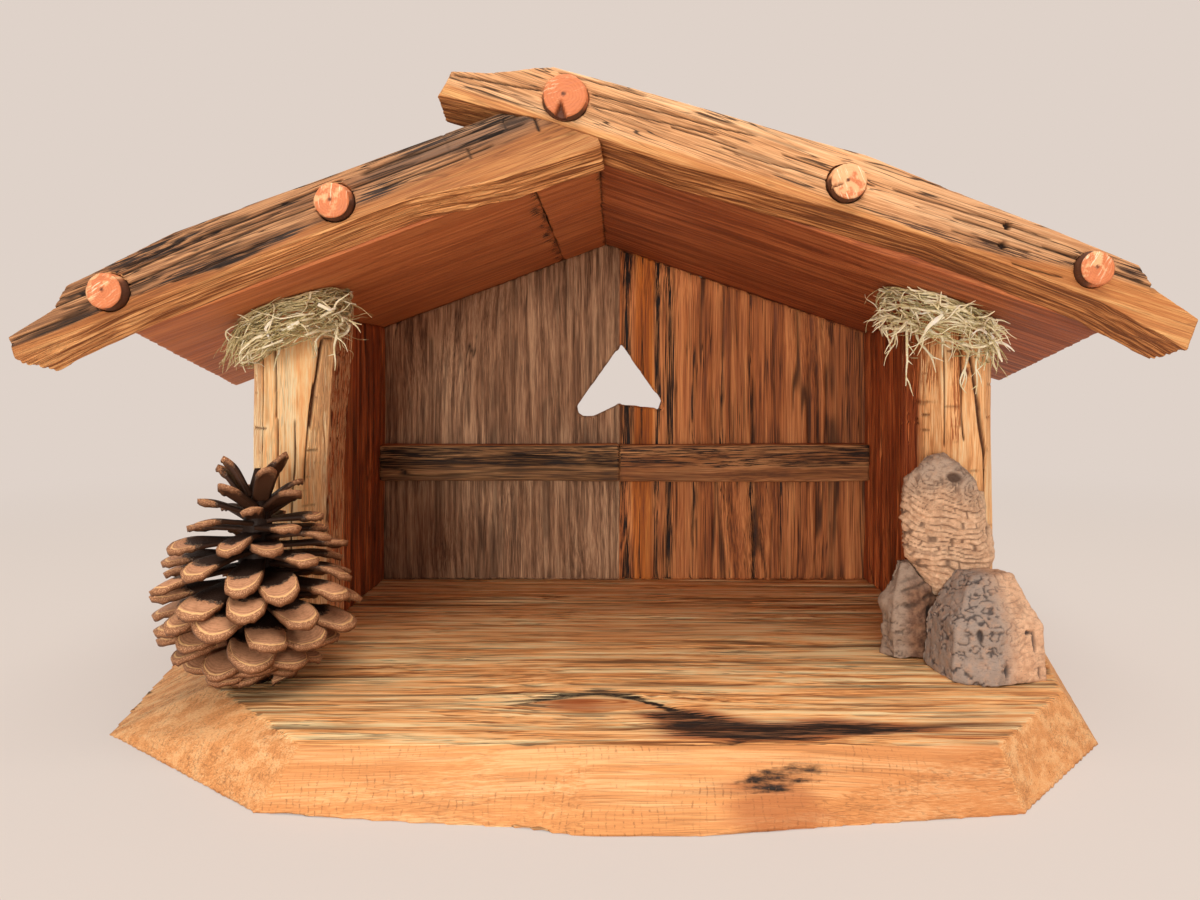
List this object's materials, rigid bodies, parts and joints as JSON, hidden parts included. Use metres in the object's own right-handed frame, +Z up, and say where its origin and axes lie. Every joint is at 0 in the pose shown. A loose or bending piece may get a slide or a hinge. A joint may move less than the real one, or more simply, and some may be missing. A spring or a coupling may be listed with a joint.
{
  "type": "wooden nativity stable",
  "caption": "Open-fronted toy stable of reclaimed boards with log posts, pegged barge boards, a gable window in the back wall, a bevelled plank base and pine cone, lichen and driftwood trim.",
  "frame": {"origin": "on the table under the middle of the base board's bounding rectangle", "axes": "+X to the right along the front, +Y to the back wall, +Z up to the ridge"},
  "size_m": [0.36, 0.2058, 0.188],
  "materials": {
    "weathered_plank": "weathered, matt",
    "post_wood": "weathered, matt",
    "dark_board": "rough sawn, dark stain",
    "grey_board": "weathered, matt",
    "striped_board": "weathered, matt",
    "rail_wood": "weathered, matt",
    "soffit_board": "planed, satin",
    "charred_barge": "weathered, cracked",
    "tan_barge": "weathered, cracked",
    "peg_wood": "sawn end grain",
    "lichen": "dry, matt",
    "cone_wood": "dry, matt",
    "driftwood": "bleached, matt",
    "bark": "rough, matt",
    "screw_steel": "plain"
  },
  "bodies": {
    "root": {"base_board": "weathered_plank", "left_post": "post_wood", "right_post": "post_wood", "left_wall_front": "dark_board", "left_wall_rear": "dark_board", "right_wall_front": "dark_board", "right_wall_rear": "dark_board", "back_board_left": "grey_board", "back_board_right": "striped_board", "back_rail_left": "rail_wood", "back_rail_right": "rail_wood", "roof_board_left": "soffit_board", "roof_ridge_strip": "soffit_board", "roof_board_right": "soffit_board", "barge_board_left": "charred_barge", "barge_board_right": "tan_barge", "peg_left_eave": "peg_wood", "peg_left_mid": "peg_wood", "peg_ridge": "peg_wood", "peg_right_mid": "peg_wood", "peg_right_eave": "peg_wood", "moss_left": "lichen", "moss_right": "lichen", "pine_cone": "cone_wood", "driftwood_knot": "driftwood", "driftwood_slab": "driftwood", "driftwood_rock": "driftwood", "bark_chunk": "bark", "base_screws": "screw_steel", "roof_brads": "screw_steel"}
  },
  "joints": []
}
